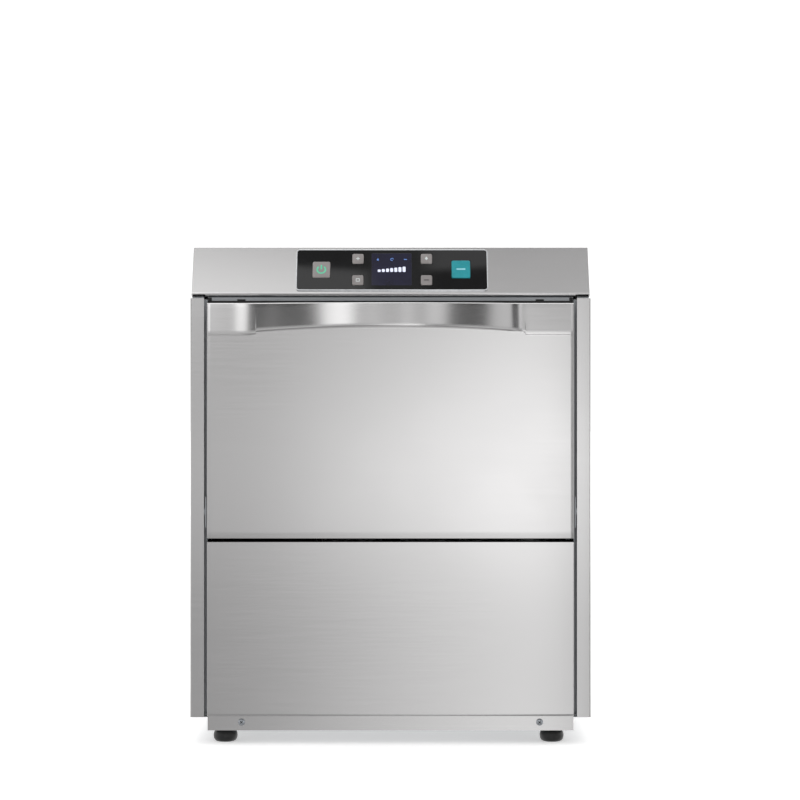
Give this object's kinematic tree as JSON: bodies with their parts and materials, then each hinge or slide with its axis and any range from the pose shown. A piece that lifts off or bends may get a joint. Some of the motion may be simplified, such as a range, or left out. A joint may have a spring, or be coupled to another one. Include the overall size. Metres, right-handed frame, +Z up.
{
  "type": "glass washer machine",
  "caption": "Undercounter front-loading glass washer with a drop-down door, bowed door handle, sloping control header and levelling feet.",
  "frame": {"origin": "on the floor, under the middle of the machine's overall box", "axes": "+X to the right as one faces the machine, +Y from the door towards the rear panel, +Z up"},
  "size_m": [0.575, 0.605, 0.718],
  "materials": {
    "stainless_skin": "satin",
    "stainless_tub": "satin",
    "stainless_frame": "satin",
    "control_gloss": "gloss",
    "button_grey": "satin",
    "button_teal": "satin",
    "board": "satin",
    "rubber_black": "matte",
    "foot_black": "satin",
    "polymer_grey": "satin",
    "pump_alloy": "cast",
    "zinc_steel": "satin",
    "heater_steel": "satin",
    "brass_fitting": "satin"
  },
  "bodies": {
    "chassis": {"base_tray": "stainless_frame", "boiler": "stainless_frame", "boiler_heater": "heater_steel", "cable_gland": "foot_black", "control_board": "board", "control_glass": "control_gloss", "control_header": "stainless_skin", "door_gasket": "rubber_black", "door_sill": "stainless_tub", "door_springs": "zinc_steel", "dosing_pumps": "polymer_grey", "drain_pump": "polymer_grey", "electrical_box": "polymer_grey", "filter_tray": "stainless_tub", "front_plinth": "stainless_skin", "front_post_left": "stainless_frame", "front_post_right": "stainless_frame", "hinge_pins": "zinc_steel", "inlet_valve": "brass_fitting", "lower_spindle": "stainless_tub", "plinth_screws": "zinc_steel", "pump_hoses": "rubber_black", "rack_rail_left": "stainless_tub", "rack_rail_right": "stainless_tub", "rear_panel": "stainless_skin", "service_panel": "stainless_skin", "side_panel_left": "stainless_skin", "side_panel_right": "stainless_skin", "tank_heater": "heater_steel", "top_cover": "stainless_skin", "top_rail": "stainless_frame", "tub_ceiling": "stainless_tub", "tub_floor": "stainless_tub", "tub_rear_wall": "stainless_tub", "tub_wall_left": "stainless_tub", "tub_wall_right": "stainless_tub", "wash_pump": "pump_alloy", "wash_riser": "stainless_tub"},
    "door": {"door_skin": "stainless_skin", "door_handle": "stainless_skin", "door_liner": "stainless_tub", "door_crown": "stainless_tub", "hinge_arm_left": "stainless_frame", "hinge_arm_right": "stainless_frame"},
    "power_button": {"power_button": "button_grey"},
    "start_button": {"start_button": "button_teal"},
    "select_button_1": {"select_button_1": "button_grey"},
    "select_button_2": {"select_button_2": "button_grey"},
    "select_button_3": {"select_button_3": "button_grey"},
    "select_button_4": {"select_button_4": "button_grey"},
    "lower_wash_arm": {"lower_wash_arm": "stainless_tub"},
    "lower_rinse_arm": {"lower_rinse_arm": "stainless_tub"},
    "upper_wash_arm": {"upper_wash_arm": "stainless_tub"},
    "upper_rinse_arm": {"upper_rinse_arm": "stainless_tub"},
    "pump_rotor": {"pump_rotor": "pump_alloy"},
    "standpipe": {"overflow_pipe": "polymer_grey"},
    "foot_front_left": {"foot_front_left": "foot_black"},
    "foot_front_right": {"foot_front_right": "foot_black"},
    "foot_rear_left": {"foot_rear_left": "foot_black"},
    "foot_rear_right": {"foot_rear_right": "foot_black"}
  },
  "joints": [
    {"name": "door_hinge", "type": "hinge", "parent": "chassis", "child": "door", "pos_m": [0, -0.2655, 0.334], "axis": [1, 0, 0], "range_deg": [0, 90], "stiffness_Nm_per_rad": 4, "deforming": ["door_springs"]},
    {"name": "power_button_press", "type": "slide", "parent": "chassis", "child": "power_button", "axis": [0, 0.8973, -0.4414], "range_m": [0, 0.001], "stiffness_N_per_m": 1500},
    {"name": "start_button_press", "type": "slide", "parent": "chassis", "child": "start_button", "axis": [0, 0.8973, -0.4414], "range_m": [0, 0.001], "stiffness_N_per_m": 1500},
    {"name": "select_button_1_press", "type": "slide", "parent": "chassis", "child": "select_button_1", "axis": [0, 0.8973, -0.4414], "range_m": [0, 0.001], "stiffness_N_per_m": 1500},
    {"name": "select_button_2_press", "type": "slide", "parent": "chassis", "child": "select_button_2", "axis": [0, 0.8973, -0.4414], "range_m": [0, 0.001], "stiffness_N_per_m": 1500},
    {"name": "select_button_3_press", "type": "slide", "parent": "chassis", "child": "select_button_3", "axis": [0, 0.8973, -0.4414], "range_m": [0, 0.001], "stiffness_N_per_m": 1500},
    {"name": "select_button_4_press", "type": "slide", "parent": "chassis", "child": "select_button_4", "axis": [0, 0.8973, -0.4414], "range_m": [0, 0.001], "stiffness_N_per_m": 1500},
    {"name": "lower_wash_arm_spin", "type": "hinge", "parent": "chassis", "child": "lower_wash_arm", "pos_m": [0, 0.006, 0.33], "axis": [0, 0, 1], "continuous": true},
    {"name": "lower_rinse_arm_spin", "type": "hinge", "parent": "chassis", "child": "lower_rinse_arm", "pos_m": [0, 0.006, 0.33], "axis": [0, 0, 1], "continuous": true},
    {"name": "upper_wash_arm_spin", "type": "hinge", "parent": "chassis", "child": "upper_wash_arm", "pos_m": [0, 0.006, 0.6], "axis": [0, 0, 1], "continuous": true},
    {"name": "upper_rinse_arm_spin", "type": "hinge", "parent": "chassis", "child": "upper_rinse_arm", "pos_m": [0, 0.006, 0.6], "axis": [0, 0, 1], "continuous": true},
    {"name": "pump_rotor_spin", "type": "hinge", "parent": "chassis", "child": "pump_rotor", "pos_m": [-0.06, 0.02, 0.112], "axis": [1, 0, 0], "continuous": true},
    {"name": "standpipe_lift", "type": "slide", "parent": "chassis", "child": "standpipe", "axis": [0, 0, 1], "range_m": [0, 0.06]},
    {"name": "foot_front_left_screw", "type": "slide", "parent": "chassis", "child": "foot_front_left", "axis": [0, 0, -1], "range_m": [0, 0.02]},
    {"name": "foot_front_right_screw", "type": "slide", "parent": "chassis", "child": "foot_front_right", "axis": [0, 0, -1], "range_m": [0, 0.02]},
    {"name": "foot_rear_left_screw", "type": "slide", "parent": "chassis", "child": "foot_rear_left", "axis": [0, 0, -1], "range_m": [0, 0.02]},
    {"name": "foot_rear_right_screw", "type": "slide", "parent": "chassis", "child": "foot_rear_right", "axis": [0, 0, -1], "range_m": [0, 0.02]}
  ]
}
